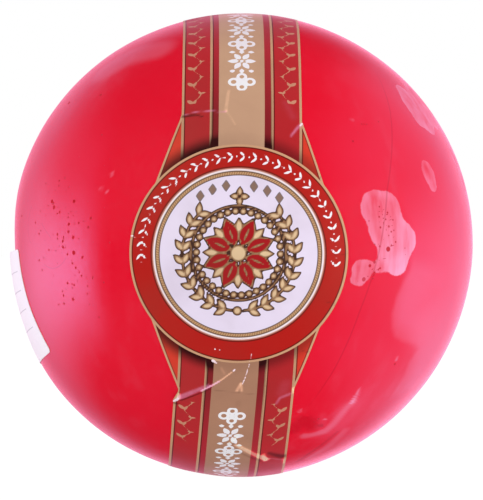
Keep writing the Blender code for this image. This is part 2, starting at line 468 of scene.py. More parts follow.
def wax_fields(ways):
    """What the wax's material needs to know at each point."""
    bloom_sheen_mm, milkiness_and_sheen = bloom_and_sheen_fields(ways)
    seam_mm, share = beside_line(ways, SEAM)
    seam_on = ease(share, 0.0, 0.15) * ease(-share, -1.0, -0.85)
    dull_sheen_mm, share = beside_line(ways, DULL_SHEEN_EDGE)
    dull_sheen_on = ease(share, 0.0, 0.12) * ease(-share, -1.0, -0.9)
    scratch_mm, share = beside_line(ways, SCRATCH)
    scratch_mm += 9.0 * ((share < 0.001) | (share > 0.999))
    return {
        "wax": np.stack([bloom_sheen_mm, milkiness_and_sheen, crowd(ways)], axis=-1),
        "lines": np.stack([seam_mm, seam_on, scratch_mm], axis=-1),
        "dull_sheen": np.stack([dull_sheen_mm, dull_sheen_on, wrinkles(ways)], axis=-1),
        "pit": nearest_pit(ways),
    }


def wax_material():
    """Glossy red wax with pits and a scratch painted darker as shade, a fine seam, and bloomed
    patches and dull streaks that also carry a painted pale reflection.
    """
    inks = Inks("red_wax")
    bloom_sheen_mm, milkiness_and_sheen, pitted = inks.field("wax")
    seam_mm, seam_on, scratch_mm = inks.field("lines")
    dull_sheen_mm, dull_sheen_on, wrinkle = inks.field("dull_sheen")
    pit_x, pit_y, pit_radius = inks.field("pit")

    colour = inks.mix(inks.grain(28, detail=3), rgb(226, 8, 36), rgb(238, 16, 46))
    brushed = inks.grain(420, detail=4, stretch=(1.0, 1.0, 0.18))
    streaks = inks.grain(150, detail=4, stretch=(1.0, 1.0, 0.3))
    mottle = inks.grain(700, detail=3)

    # Bloom patches: partly milky wax, partly a painted pale pink reflection
    ragged = inks.maths("MULTIPLY_ADD", inks.grain(380, detail=3), 1.3, -0.65)
    bloom_sheen = inks.step(inks.maths("ADD", bloom_sheen_mm, ragged), 0.22, -0.22)
    rim = inks.step(bloom_sheen_mm, -3.0, -0.2, 0.0, 0.14)
    haze_and_sheen = inks.maths("ADD", inks.maths("MULTIPLY", bloom_sheen, inks.maths("ADD", milkiness_and_sheen, rim)),
                      inks.maths("MULTIPLY", bloom_sheen, inks.step(brushed, 0.3, 0.7, -0.12, 0.12)))
    # Zone low on the right: partly dull wax, partly a painted pale reflection
    dull_sheen = inks.maths("MULTIPLY", inks.step(dull_sheen_mm, -1.8, 0.8), dull_sheen_on)
    dull_sheen = inks.maths("MULTIPLY", dull_sheen, inks.step(dull_sheen_mm, 2.0, 24.0, 0.10, 0.0))
    haze_and_sheen = inks.maths("MAXIMUM", haze_and_sheen, dull_sheen)
    # Soft streaks in the wax, partly a painted pale reflection
    film_and_sheen = inks.maths("MULTIPLY", inks.step(streaks, 0.48, 0.72, 0.0, 0.03),
                      inks.step(inks.grain(22, detail=1), 0.45, 0.62))
    haze_and_sheen = inks.maths("ADD", haze_and_sheen, film_and_sheen)
    haze_and_sheen = inks.maths("ADD", haze_and_sheen, inks.maths("MAXIMUM", wrinkle, 0.0))
    # Pale pink mixed into the wax: milky and dull wax together with painted reflection and the
    # painted light of wrinkles
    colour = inks.mix(inks.maths("MINIMUM", haze_and_sheen, 1.0), colour, rgb(250, 168, 204))

    reach = inks.maths("SQRT", inks.maths("MULTIPLY_ADD", pit_x, pit_x,
                                          inks.maths("MULTIPLY", pit_y, pit_y)))
    big_pit = inks.step(inks.maths("SUBTRACT", reach, pit_radius), 0.12, -0.16)
    cell, chance = inks.dots(620)
    size = inks.maths("MULTIPLY_ADD", chance, 1.6, -1.62)
    size = inks.maths("ADD", size, inks.maths("MULTIPLY", pitted, 0.42))
    fine_pit = inks.step(inks.maths("SUBTRACT", cell, size), 0.05, -0.05)
    pit = inks.maths("MAXIMUM", big_pit, inks.maths("MULTIPLY", fine_pit, 0.8))
    seam = inks.maths("MULTIPLY", inks.step(inks.maths("ABSOLUTE", seam_mm), 0.42, 0.10), seam_on)
    scratch = inks.step(inks.maths("ABSOLUTE", scratch_mm), 0.2, 0.05)
    # Pits and the scratch are painted a deeper red, as shade in their hollows; the seam is drawn
    # darker too
    dark = inks.maths("MAXIMUM", pit, inks.maths("MULTIPLY", scratch, 0.5))
    dark = inks.maths("MAXIMUM", dark, inks.maths("MULTIPLY", seam, 0.45))
    colour = inks.mix(inks.maths("MULTIPLY", dark, 0.9), colour, rgb(190, 0, 20))
    colour = inks.mix(inks.step(wrinkle, 0.0, -1.0, 0.0, 0.9), colour, rgb(190, 0, 22))
    inks.feed(inks.shader.inputs["Base Color"], colour)
    rough = inks.step(mottle, 0.3, 0.7, 0.12, 0.20)
    rough = inks.maths("ADD", rough, inks.maths("MULTIPLY", bloom_sheen, 0.18))
    inks.feed(inks.shader.inputs["Roughness"],
              inks.maths("ADD", rough, inks.maths("MULTIPLY", pit, 0.85), clamp=True))
    inks.set(Specular_Tint=(0.42, 0.77, 1.0, 1.0))
    low = inks.maths("MULTIPLY", dark, -1.0)
    fine = inks.bump(brushed, 0.00006, 0.3)
    fine = inks.bump(mottle, 0.00004, 0.45, fine)
    inks.feed(inks.shader.inputs["Normal"], inks.bump(low, 0.00002, 1.0, fine))
    return inks.material


def add_wax():
    """The wax skin of the ball, over the solid one."""
    ways, quads = cube_sphere(BALL_CELLS)
    points = place(ways, wax_radius(ways) + wax_relief(ways))
    piece = add_mesh("wax_ball", points, quads, wax_fields(ways))
    piece.data.materials.append(wax_material())
    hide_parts("cheese_ball")
    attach(piece, "root")
    return piece


# ---------------------------------------------------------------- the label's sheet

def drift(turns):
    """Sideways wander of the label's middle line, in degrees, at each turn."""
    knots = np.array(DRIFT)
    nearby = [np.interp(turns + step, knots[:, 0], knots[:, 1]) for step in (-6, -3, 0, 3, 6)]
    return np.mean(nearby, axis=0)


BAND_HALF = math.degrees(0.5 * BAND_WIDTH / BALL_RADIUS)


def rim_reach(away):
    """Half-width of the medallion, in degrees, at a turn away from its middle."""
    rim = math.cos(MEDALLION_RADIUS / BALL_RADIUS)
    share = np.clip(rim / np.cos(np.radians(away)), -1, 1)
    return np.degrees(np.arccos(share))


def label_edge(turns, sign):
    """Side angle of the label's left (-1) or right (1) edge at each turn."""
    away = np.abs(turns - MEDALLION_TURN)
    edge = drift(turns) + sign * BAND_HALF
    if sign < 0:
        edge += TUCK * ease(turns, -41.8, -38.0) * ease(-turns, 0, 5)
    for end in ("top", "bottom"):
        root, tip = FLARES["right" if sign > 0 else "left", end]
        up = 1 if end == "top" else -1
        here = (turns - MEDALLION_TURN) * up >= 0
        tip_side = drift(np.array([MEDALLION_TURN + up * tip]))[0] + sign * BAND_HALF
        tip_side += TUCK * (sign < 0 and end == "bottom")
        root_side = MEDALLION_SIDE + sign * rim_reach(root)
        share = np.clip((away - root) / (tip - root), 0, 1)
        flare = root_side + (tip_side - root_side) * share
        edge = np.where(here & (away < tip), flare, edge)
        edge = np.where(here & (away <= root), MEDALLION_SIDE + sign * rim_reach(away), edge)
    return edge


def label_turns():
    """Turns of the sheet's rows of points: close together where it shows most."""
    stretches = ((-180.0, -100.0, 2.0), (-100.0, -78.0, 0.6), (-78.0, -31.0, 0.45),
                 (-31.0, 27.0, 0.4), (27.0, 80.0, 0.45), (80.0, 180.0, 2.0))
    rows = [np.linspace(start, end, round((end - start) / step), endpoint=False)
            for start, end, step in stretches]
    return np.concatenate(rows)


def label_way(turns, sides):
    """Unit vectors to places on the label."""
    side, along = np.radians(sides), np.radians(turns)
    return np.stack([np.sin(side), -np.cos(side) * np.cos(along),
                     np.cos(side) * np.sin(along)], axis=-1)


def medallion_plan(ways):
    """Places about the medallion's middle, in millimetres to the right and up."""
    middle = label_way(np.array(MEDALLION_TURN), np.array(MEDALLION_SIDE))
    azimuth = math.degrees(math.atan2(middle[0], -middle[1]))
    across, up = plan(ways, azimuth, math.degrees(math.asin(middle[2])))
    lean = math.radians(LABEL_TILT)
    return (across * math.cos(lean) - up * math.sin(lean),
            across * math.sin(lean) + up * math.cos(lean))


# Folds of the sheet: places (t, s), ridge height, width of its gentle side and of its
# steep side. t is sideways from the middle line and s is up along it from the front.
FOLDS = (
    (((-19.5, -54.9), (-12.9, -50.0), (-7.0, -45.9), (0.0, -39.8)), 0.55, 3.2, 0.5),
    (((-20.5, 41.6), (-12.4, 42.6), (-5.7, 42.9)), 0.30, 2.0, 0.4),
    (((0.0, -70.2), (5.2, -75.6), (11.6, -81.6), (21.0, -88.0)), 0.50, 2.6, 0.5),
    (((-7.0, -47.4), (1.2, -48.2), (8.2, -49.3)), 0.12, 1.6, 0.5),
    (((-4.2, 50.0), (-4.8, 42.9), (-2.0, 37.8)), 0.14, 2.0, 1.0),
)
# Above this line the pleat has drawn the left half of the sheet in
PLEAT_LINE = ((-23.0, -57.0), (-12.9, -50.0), (-7.0, -46.4), (1.2, -48.2), (23.0, -50.5))
DRAWN_IN = 0.047
# White cracks in the ink, and a painted highlight at the tip of the top right flare: places, and
# width at each end
CRACKS_AND_GLINTS = (
    (((4.8, -33.0), (4.1, -37.5), (3.5, -40.5), (3.1, -42.4), (2.3, -45.1)), 0.16, 0.30),
    (((-34.8, 3.2), (-33.2, 2.8), (-31.8, 2.0)), 0.7, 0.20),
    (((-6.9, -36.7), (-5.7, -37.6)), 0.9, 0.4),
    (((-6.5, -32.7), (-6.4, -32.7)), 0.5, 0.5),
    (((-5.0, -33.0), (-4.9, -33.0)), 0.5, 0.5),
    (((19.4, 39.7), (18.3, 39.3)), 0.7, 0.6),
    (((18.3, 39.3), (17.5, 38.0)), 0.6, 0.2),
    (((-18.9, -54.5), (-17.6, -53.7), (-16.8, -52.4)), 1.2, 0.9),
    (((-0.6, -40.0), (-0.2, -39.6)), 0.6, 0.6),
)
# Light (above 0) and shade on small folds: places, width at each end, softness, strength
SHEENS = (
    (((-9.9, -48.2), (-7.0, -45.8), (-4.3, -43.6), (-1.1, -40.5)), 0.5, 0.3, 0.25, 0.9),
    (((-16.6, -52.4), (-16.6, -50.6)), 0.9, 0.4, 0.5, 1.0),
    (((1.8, -44.6), (0.8, -47.5)), 0.3, 0.8, 0.5, 0.6),
    (((2.0, -44.8), (2.3, -47.7)), 0.3, 0.6, 0.5, 0.6),
    (((-4.3, -39.2), (-3.3, -41.0)), 0.3, 0.3, 0.7, 0.35),
    (((2.4, -72.9), (5.2, -75.9), (8.5, -79.6), (11.9, -83.8)), 1.3, 2.2, 0.9, 0.9),
    (((11.0, -79.4), (11.7, -85.2)), 0.8, 0.8, 0.8, 0.8),
    (((2.4, -67.2), (1.0, -69.9), (-0.3, -72.2)), 0.3, 0.5, 0.5, 0.6),
    (((-3.9, 50.6), (-4.2, 49.0), (-4.8, 42.9)), 0.7, 0.9, 0.5, 0.30),
    (((-4.6, 42.7), (-2.0, 37.8)), 0.3, 0.3, 0.5, 0.26),
    (((18.1, -48.0), (18.2, -49.6)), 0.5, 0.3, 0.6, 0.8),
    (((17.2, -84.8), (17.8, -90.0)), 0.5, 0.3, 0.6, 0.6),
    (((-16.0, -53.4), (-9.8, -49.0), (-7.2, -46.8)), 0.4, 0.2, 0.4, -0.7),
    (((-18.3, -55.2), (-17.0, -55.4)), 0.7, 0.4, 0.5, -0.8),
    (((17.0, -83.0), (15.0, -81.4), (12.6, -79.2)), 1.6, 0.2, 1.8, -0.8),
    (((10.4, -85.0), (4.0, -78.4), (1.2, -75.6)), 0.7, 0.3, 0.8, -0.4),
    (((-17.9, 41.9), (-13.9, 42.1), (-11.9, 41.2)), 0.7, 0.2, 0.5, -0.85),
    (((-5.9, -47.5), (1.2, -48.2), (6.8, -49.1)), 0.12, 0.12, 0.4, -0.4),
    (((1.5, -53.4), (1.5, -52.2)), 1.4, 1.4, 1.2, -0.18),
    (((31.4, -20.5), (29.0, -19.2), (27.1, -18.6)), 0.3, 0.2, 0.4, -0.5),
    (((23.4, -35.5), (21.5, -34.9), (19.6, -34.0)), 0.3, 0.2, 0.4, -0.5),
    (((-31.8, 2.0), (-28.8, 1.4)), 0.18, 0.1, 0.3, -0.5),
    (((33.8, -3.0), (31.2, -3.6), (29.6, -3.4)), 0.16, 0.1, 0.3, -0.5),
    (((24.0, 21.0), (25.8, 23.4)), 0.2, 0.2, 0.4, -0.5),
)
# Pink light mirrored by a fold's face, in the same terms
FLUSHES = (
    (((-16.2, -51.9), (-12.9, -49.3), (-9.6, -46.9), (-7.9, -45.8)), 1.5, 0.4, 0.6, 0.42),
    (((-9.9, -48.1), (-7.0, -45.8), (-4.6, -43.9)), 0.4, 0.3, 0.25, 0.75),
    (((17.2, -50.0), (14.2, -51.2), (13.2, -53.4)), 0.5, 0.3, 0.6, 0.30),
    (((14.8, -49.0), (15.6, -46.0)), 1.6, 1.4, 2.4, 0.06),
    (((18.4, 39.3), (17.0, 37.8), (15.0, 34.6)), 0.5, 0.2, 0.5, 0.55),
    (((-17.3, 42.4), (-12.3, 43.3), (-6.8, 42.6), (-4.8, 42.5)), 0.10, 0.10, 0.3, 0.55),
    (((15.6, 41.6), (13.4, 46.5)), 0.8, 0.4, 1.8, 0.05),
)


def sheet_relief(ways, t, s):
    """Height of the printed face over the wax, in metres: its folds and soft waves."""
    height = 0.06 * ripple(ways, 17, 5) + 0.025 * ripple(ways, 7, 6)
    for places, ridge, gentle, steep in FOLDS:
        gap, share = to_line(t, s, places)
        width = np.where(gap > 0, gentle, steep)
        ends = ease(share, -0.01, 0.02) * (1 - 0.75 * share)
        fade = np.where((share <= 0.001) | (share >= 0.999), np.exp(-(gap / 2.0) ** 2), 1.0)
        height += ridge * np.exp(-(gap / width) ** 2) * ends * fade
    return SHEET_ABOVE + np.maximum(height, -0.10) / MM


# ---------------------------------------------------------------- the label's print

def disc(x, y, middle_x, middle_y, radius):
    """Signed distance to a disc."""
    return np.hypot(x - middle_x, y - middle_y) - radius


def leaf(x, y, stalk_x, stalk_y, angle, length, width):
    """Signed distance to a pointed leaf that grows from its stalk at an angle."""
    turn = math.radians(angle)
    along = (x - stalk_x) * math.cos(turn) + (y - stalk_y) * math.sin(turn)
    off = (y - stalk_y) * math.cos(turn) - (x - stalk_x) * math.sin(turn)
    beyond = np.maximum(np.maximum(-along, along - length), 0)
    half = 0.5 * width * np.sin(math.pi * np.clip(along / length, 0, 1) ** 0.85)
    return np.where(beyond > 0, np.hypot(off, beyond), np.abs(off) - half)


def lozenge(x, y, middle_x, middle_y, width, height):
    """Signed distance to an upright lozenge."""
    lean = math.hypot(width, height)
    across, up = np.abs(x - middle_x), np.abs(y - middle_y)
    return (across * height + up * width - 0.5 * width * height) / lean


def around(x, y, count, phase=0.0):
    """Folds the plane so that what lies along +X shows count times round the middle."""
    sector = 2 * math.pi / count
    angle = np.arctan2(y, x) - math.radians(phase)
    angle = (angle + sector / 2) % sector - sector / 2
    size = np.hypot(x, y)
    return size * np.cos(angle), size * np.sin(angle)


def rosette(u, v):
    """Gold and red parts of the flower in the middle of the medallion."""
    x, y = around(u, v, 8, 22.5)
    petal = leaf(x, y, 2.6, 0, 0, 8.4, 4.7)
    vein = leaf(x, y, 3.6, 0, 0, 5.4, 0.75)
    gold = np.minimum(np.abs(petal + 0.1) - 0.30, vein)
    gold = np.minimum(gold, disc(u, v, 0, 0, 2.4))
    x, y = around(u, v, 8, 0)
    gold = np.minimum(gold, leaf(x, y, 6.0, 0, 0, 4.6, 2.2))
    x, y = around(u, v, 34, 0)
    gold = np.minimum(gold, disc(x, y, 12.6, 0, 0.86))
    gold = np.minimum(gold, np.abs(np.hypot(u, v) - 14.2) - 0.22)
    red = np.minimum(petal, disc(u, v, 0, 0, 1.1))
    return gold, red


def laurels(u, v):
    """Gold parts of the two branches that stand beside the flower."""
    x = np.abs(u)
    gold = np.full(len(u), 99.0)
    angle = np.degrees(np.arctan2(v, x))
    stem = np.abs(np.hypot(x, v) - 17.0) - 0.22
    gold = np.minimum(gold, np.where((angle > -84) & (angle < 48), stem, 99.0))
    for step in range(10):
        place = -78 + 13.5 * step
        stalk_x = 17.0 * math.cos(math.radians(place))
        stalk_y = 17.0 * math.sin(math.radians(place))
        for lean in (52, 128):
            gold = np.minimum(gold, leaf(x, v, stalk_x, stalk_y, place + lean, 3.9, 1.8))
    gold = np.minimum(gold, disc(u, v, 0, -17.0, 1.2))
    return gold


def medallion_print(u, v):
    """Gold, red, white and grey parts of the medallion's print."""
    gold, red = rosette(u, v - 0.5)
    gold = np.minimum(gold, laurels(u, v))
    x, y = around(u, v - 17.6, 4, 0)
    gold = np.minimum(gold, leaf(x, y, 0.3, 0, 0, 2.6, 1.6))
    grey = np.full(len(u), 99.0)
    for step in (-3, -2, -1, 1, 2, 3):
        place = math.radians(90 + 11.5 * step)
        grey = np.minimum(grey, lozenge(u, v, 21.2 * math.cos(place), 21.2 * math.sin(place),
                                        2.2, 3.2))
    size, angle = np.hypot(u, v), np.degrees(np.arctan2(v, u))
    step = 7.2
    along = ((angle - 90 + step / 2) % step - step / 2) * math.radians(1) * 30.1
    off = size - 30.1
    sprig = np.minimum(leaf(along, off, -1.4, 0, 42, 2.9, 0.95),
                       leaf(along, off, -1.4, 0, -42, 2.9, 0.95))
    sprig = np.minimum(sprig, disc(along, off, 1.2, 0, 0.45))
    sprig = np.minimum(sprig, np.maximum(np.abs(off) - 0.16, np.abs(along + 1.2) - 0.8))
    upper = (angle > -8) | (angle < -172)
    white = np.where(upper & (size > 27.4) & (size < 32.6), sprig + 0.1, 99.0)
    return gold, red, white, grey


def vines(t, s):
    """The gold vine that winds up each of the band's two dark stripes."""
    x, wave = np.abs(t) - 13.6, 7.4
    phase = s / wave * 2 * math.pi
    gold = np.abs(x - 1.1 * np.sin(phase)) - 0.20
    along = (s + 1.2) % wave - 1.2
    for turn, side in ((0.25, -1), (0.75, 1)):
        stalk = wave * turn
        gold = np.minimum(gold, leaf(x, along, 1.1 * -side, stalk, 90 + 48 * side, 3.1, 1.25))
        gold = np.minimum(gold, leaf(x, along, 1.1 * -side, stalk, 90 - 25 * side, 1.9, 1.0))
    shown = ((s > 46) & (s < 104)) | ((s < -53) & (s > -75))
    return np.where(shown & (np.abs(x) < 3.4), gold, 99.0)


def blossoms(t, s):
    """The white flowers along the middle of the band, four-petalled and star-like in turn."""
    start, pitch = np.where(s > 0, 54.2, -58.2), 9.6
    row = np.round((s - start) / pitch)
    along = s - start - row * pitch
    four = np.minimum(disc(np.abs(t), along, 2.5, 0, 1.75), disc(t, np.abs(along), 0, 2.2, 1.65))
    four = np.minimum(np.abs(four + 0.45) - 0.45, disc(t, along, 0, 0, 0.8))
    x, y = around(t, along, 6, 0)
    star = np.minimum(leaf(x, y, 0.9, 0, 0, 3.6, 1.9), disc(t, along, 0, 0, 0.6))
    white = np.where(row % 2 == 0, four, star)
    between = np.abs(along) - pitch / 2
    side = np.abs(t) - 2.9
    white = np.minimum(white, lozenge(side, between, 0, 0, 2.4, 1.5))
    white = np.minimum(white, lozenge(t, between, 0, 0, 1.9, 2.2))
    shown = ((s > 50.3) & (s < 113)) | ((s < -54.3) & (s > -106))
    return np.where(shown & (np.abs(t) < 6.5), white, 99.0)


def nearest_mark(t, s, marks):
    """Distance to the nearest of a list of tapering lines."""
    nearest = np.full(len(t), 99.0)
    for places, first, last in marks:
        gap, share = to_line(t, s, places)
        nearest = np.minimum(nearest, np.abs(gap) - 0.5 * (first + (last - first) * share))
    return nearest


def soft_marks(t, s, marks):
    """Sum of soft tapering lines, each with its own strength."""
    total = np.zeros(len(t))
    for places, first, last, soft, strength in marks:
        gap, share = to_line(t, s, places)
        inside = 0.5 * (first + (last - first) * share) - np.abs(gap)
        total += strength * ease(inside, -soft, 0.3 * soft)
    return total


def label_fields(ways, t, s, edge):
    """What the label's material needs to know at each point of the sheet."""
    u, v = medallion_plan(ways)
    on_medallion = np.hypot(u, v) < MEDALLION_RADIUS * MM
    above_pleat = ease(to_line(t, s, PLEAT_LINE)[0], -0.1, 0.1) * (s < -30) * (t < 0)
    print_t = t * (1 + DRAWN_IN * above_pleat)
    gold, red, white, grey = medallion_print(u, v)
    gold = np.where(on_medallion, gold, vines(print_t, s))
    white = np.where(on_medallion, white, blossoms(print_t, s))
    return {
        "plan": np.stack([u, v, edge], axis=-1),
        "sheet": np.stack([print_t, s, nearest_mark(t, s, CRACKS_AND_GLINTS)], axis=-1),
        "art": np.stack([gold, red, white], axis=-1),
        "marks": np.stack([grey, soft_marks(t, s, SHEENS), soft_marks(t, s, FLUSHES)],
                          axis=-1),
    }


GOLD = rgb(206, 158, 122)
# The gold field is painted lighter towards the top, where more light falls, and darker towards the
# bottom
FIELD_LIT_TOP = rgb(205, 160, 130)
FIELD_SHADED_LOW = rgb(182, 132, 106)
MAROON = rgb(182, 34, 48)
DARK_RED = rgb(194, 32, 42)
FLARE_RED = rgb(222, 54, 38)
RING_RED = rgb(184, 14, 14)
SHADOW = rgb(58, 6, 8)
DISC_WHITE = rgb(233, 220, 242)
INK_DARK = rgb(70, 42, 34)
INK_RED = rgb(168, 10, 26)
INK_GREY = rgb(142, 112, 98)
INK_WHITE = rgb(250, 240, 248)


def paint_band(inks, t, s, radius, edge):
    """Colour of the band and of its flares."""
    off = inks.maths("ABSOLUTE", t)
    # Painted light: the gold field is lighter towards the top
    colour = inks.mix(inks.step(s, -30.0, 30.0), FIELD_SHADED_LOW, FIELD_LIT_TOP)
    for ink, low in ((MAROON, 6.94), (GOLD, 8.90), (DARK_RED, 9.66), (GOLD, 17.60),
                     (FLARE_RED, 18.42)):
        colour = inks.mix(inks.step(off, low - 0.06, low + 0.06), colour, ink)
    for right_side in (-17.60, -8.90, 9.66, 18.42):
        beside = inks.maths("ABSOLUTE", inks.maths("SUBTRACT", t, right_side + 0.17))
        colour = inks.mix(inks.step(beside, 0.26, 0.10, 0.0, 0.75), colour, SHADOW)
    near = inks.maths("MULTIPLY", inks.step(radius, 34.1, 39.5, 1.0, 0.0),
                      inks.step(t, -12.0, 12.0, 0.85, 0.5))
    wide = inks.step(radius, 34.1, 76.0, 0.56, 0.0)
    dark = inks.maths("MULTIPLY", wide, inks.step(off, 9.0, 9.5, 1.0, 0.28))
    dark = inks.maths("MULTIPLY", dark, inks.step(off, 18.4, 18.5, 1.0, 0.25))
    shade = inks.maths("MULTIPLY", inks.maths("ADD", near, dark),
                       inks.step(off, 6.9, 7.0, 0.16, 1.0), clamp=True)
    colour = inks.mix(shade, colour, rgb(52, 2, 10))
    flare = inks.step(off, 18.4, 18.5)
    line = inks.maths("MULTIPLY", inks.step(edge, 1.15, 0.75, 0.0, 0.7), flare)
    colour = inks.mix(line, colour, SHADOW)
    outline = inks.maths("MULTIPLY", inks.step(edge, 0.72, 0.60), inks.step(off, 17.4, 17.5))
    return inks.mix(outline, colour, GOLD)


def paint_medallion(inks, radius, angle):
    """Colour of the medallion's rings."""
    colour = DISC_WHITE
    hatch = inks.maths("SINE", inks.maths("MULTIPLY_ADD", angle, 210.0,
                                          inks.maths("MULTIPLY", radius, 3.0)))
    gold = inks.mix(inks.step(hatch, -0.6, 0.6), rgb(170, 124, 84), rgb(200, 158, 118))
    stops = ((rgb(104, 80, 76), 24.05), (gold, 24.38), (rgb(100, 74, 60), 25.22),
             (rgb(244, 226, 230), 25.58), (rgb(196, 128, 112), 26.18), (rgb(124, 16, 14), 26.55),
             (RING_RED, 27.05), (rgb(110, 8, 4), 32.95), (GOLD, 33.36))
    for ink, low in stops:
        colour = inks.mix(inks.step(radius, low - 0.09, low + 0.09), colour, ink)
    return colour


def label_material():
    """Satin print on paper, with white cracks, a painted highlight, painted light and shade where
    it has folded, and painted reflection near its ends.
    """
    inks = Inks("printed_label")
    u, v, edge = inks.field("plan")
    t, s, crack_and_glint = inks.field("sheet")
    gold, red, white = inks.field("art")
    grey, sheen, flush = inks.field("marks")
    radius = inks.maths("SQRT", inks.maths("MULTIPLY_ADD", u, u, inks.maths("MULTIPLY", v, v)))
    angle = inks.maths("ARCTAN2", v, u)
    inside = inks.step(radius, 34.13, 34.07)
    colour = inks.mix(inside, paint_band(inks, t, s, radius, edge),
                      paint_medallion(inks, radius, angle))
    in_disc = inks.step(radius, 24.1, 24.0)
    rim = inks.maths("MINIMUM", gold, red)
    colour = inks.mix(inks.maths("MULTIPLY", inks.step(rim, 0.36, 0.24), in_disc), colour,
                      INK_DARK)
    lit = inks.mix(inks.step(gold, -0.1, -0.6), rgb(150, 108, 76), rgb(226, 194, 154))
    band_gold = inks.mix(in_disc, rgb(206, 140, 112), lit)
    colour = inks.mix(inks.step(red, 0.05, -0.05), colour, INK_RED)
    colour = inks.mix(inks.step(gold, 0.05, -0.05), colour, band_gold)
    colour = inks.mix(inks.step(grey, 0.30, 0.20, 0.0, 0.8), colour, INK_DARK)
    colour = inks.mix(inks.step(grey, 0.05, -0.05), colour, INK_GREY)
    colour = inks.mix(inks.step(white, 0.05, -0.05), colour, INK_WHITE)
    wear = inks.grain(55, detail=4)
    colour = inks.mix(inks.step(wear, 0.40, 0.75, 0.0, 0.12), colour, rgb(96, 30, 26))
    # Painted reflection: the print washes out towards pink near the sheet's top and bottom ends
    painted_end_haze = inks.maths("MAXIMUM", inks.step(s, 62.0, 92.0, 0.0, 0.08),
                       inks.step(s, -70.0, -100.0, 0.0, 0.05))
    colour = inks.mix(painted_end_haze, colour, rgb(232, 150, 170))
    frayed = inks.maths("MULTIPLY_ADD", inks.grain(1500), 0.5, -0.25)
    # Noise that breaks up the painted reflections and the painted light on the folds
    sheen_breakup = inks.maths("MULTIPLY_ADD", inks.grain(700, detail=3), 0.8, 0.6)
    flush = inks.maths("MULTIPLY", flush, sheen_breakup, clamp=True)
    colour = inks.mix(flush, colour, rgb(232, 142, 182))
    colour = inks.shaded(colour, inks.step(inks.maths("MULTIPLY", sheen, sheen_breakup), 0.0, 1.0, 1.0, 2.2))
    colour = inks.mix(inks.step(sheen, 0.4, 1.5, 0.0, 0.75), colour, rgb(250, 222, 190))
    colour = inks.mix(inks.step(sheen, 0.0, -1.0, 0.0, 0.8), colour, rgb(70, 0, 8))
    # White cracks in the ink, and the painted highlight at the top right flare's tip
    colour = inks.mix(inks.step(inks.maths("ADD", crack_and_glint, frayed), 0.08, -0.08), colour,
                      rgb(252, 226, 236))
    inks.feed(inks.shader.inputs["Base Color"], colour)
    inks.feed(inks.shader.inputs["Roughness"], inks.step(wear, 0.3, 0.8, 0.28, 0.42))
    inks.set(Specular_Tint=(0.8, 0.8, 0.55, 1.0))
    dents = inks.maths("ADD", sheen, inks.maths("MULTIPLY", inks.grain(500, detail=4), 0.25))
    inks.feed(inks.shader.inputs["Normal"], inks.bump(dents, 0.00012, 0.6))
    return inks.material


def add_label():
    """The sheet: printed face, thin back and the cut edge between them."""
    turns = label_turns()
    left, right = label_edge(turns, -1), label_edge(turns, 1)
    to_mm = math.radians(1) * BALL_RADIUS * MM
    lanes = np.linspace(0, 1, LABEL_LANES + 1)
    back_lanes = np.linspace(1, 0, 13)
    share = np.concatenate([lanes, back_lanes])
    sides = left[:, None] + (right - left)[:, None] * share[None, :]
    rows = np.repeat(turns[:, None], len(share), axis=1)
    ways = label_way(rows.ravel(), sides.ravel())
    t = ((sides - drift(turns)[:, None]) * to_mm).ravel()
    s = rows.ravel() * to_mm
    slope = np.cos(np.arctan(np.gradient(right - left, turns) / 2))[:, None]
    edge = (np.minimum(share, 1 - share)[None, :] * (right - left)[:, None] * slope * to_mm)
    above = sheet_relief(ways, t, s)
    face = np.tile(np.arange(len(share)) <= LABEL_LANES, len(turns))
    radius = wax_radius(ways) + wax_relief(ways)
    points = place(ways, radius + np.where(face, above, above - 0.00022), SHEET_ABOVE)
    loop, count = len(share), len(turns)
    index = np.arange(loop * count).reshape(count, loop)
    after = np.roll(index, -1, axis=0)
    quads = np.stack([index, np.roll(index, -1, axis=1), np.roll(after, -1, axis=1), after],
                     axis=-1).reshape(-1, 4)
    piece = add_mesh("printed_label", points, quads, label_fields(ways, t, s, edge.ravel()))
    piece.data.set_sharp_from_angle(angle=math.radians(50))
    piece.data.materials.append(label_material())
    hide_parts("band_label")
    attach(piece, "root")
    return piece


# ---------------------------------------------------------------- the sticker

def sticker_plan(rows, lanes):
    """Places on a rounded rectangle, in metres from its middle."""
    straight = STICKER_HEIGHT / 2 - STICKER_CORNER
    corner = straight + STICKER_CORNER * np.sin(np.radians(np.linspace(0, 90, 9)))
    inner = np.linspace(-straight, straight, rows)[1:-1]
    heights = np.concatenate([-corner[::-1], inner, corner])
    over = np.maximum(np.abs(heights) - straight, 0)
    cut = STICKER_CORNER - np.sqrt(np.maximum(STICKER_CORNER ** 2 - over ** 2, 0))
    across = np.linspace(-1, 1, lanes)
    width = (STICKER_WIDTH / 2 - cut)[:, None] * across[None, :]
    return width, np.repeat(heights[:, None], lanes, axis=1)


def sticker_material():
    """White satin paper with faint plain rules."""
    inks = Inks("sticker_paper")
    across, up, _ = inks.field("sticker")
    rules = inks.maths("PINGPONG", inks.maths("ADD", up, 40.0), 3.2)
    rule = inks.step(rules, 0.22, 0.14)
    kept = inks.maths("MULTIPLY", inks.step(inks.maths("ABSOLUTE", across), 23.1, 23.0),
                      inks.step(inks.maths("ABSOLUTE", up), 13.1, 13.0))
    colour = inks.mix(inks.grain(60), rgb(250, 238, 247), rgb(253, 247, 251))
    colour = inks.mix(inks.maths("MULTIPLY", inks.maths("MULTIPLY", rule, kept), 0.5), colour,
                      rgb(170, 160, 172))
    inks.feed(inks.shader.inputs["Base Color"], colour)
    inks.set(Roughness=0.5, Specular_Tint=(0.8, 0.8, 0.55, 1.0))
    inks.feed(inks.shader.inputs["Normal"], inks.bump(inks.grain(300, detail=3), 0.0001, 0.3))
    return inks.material


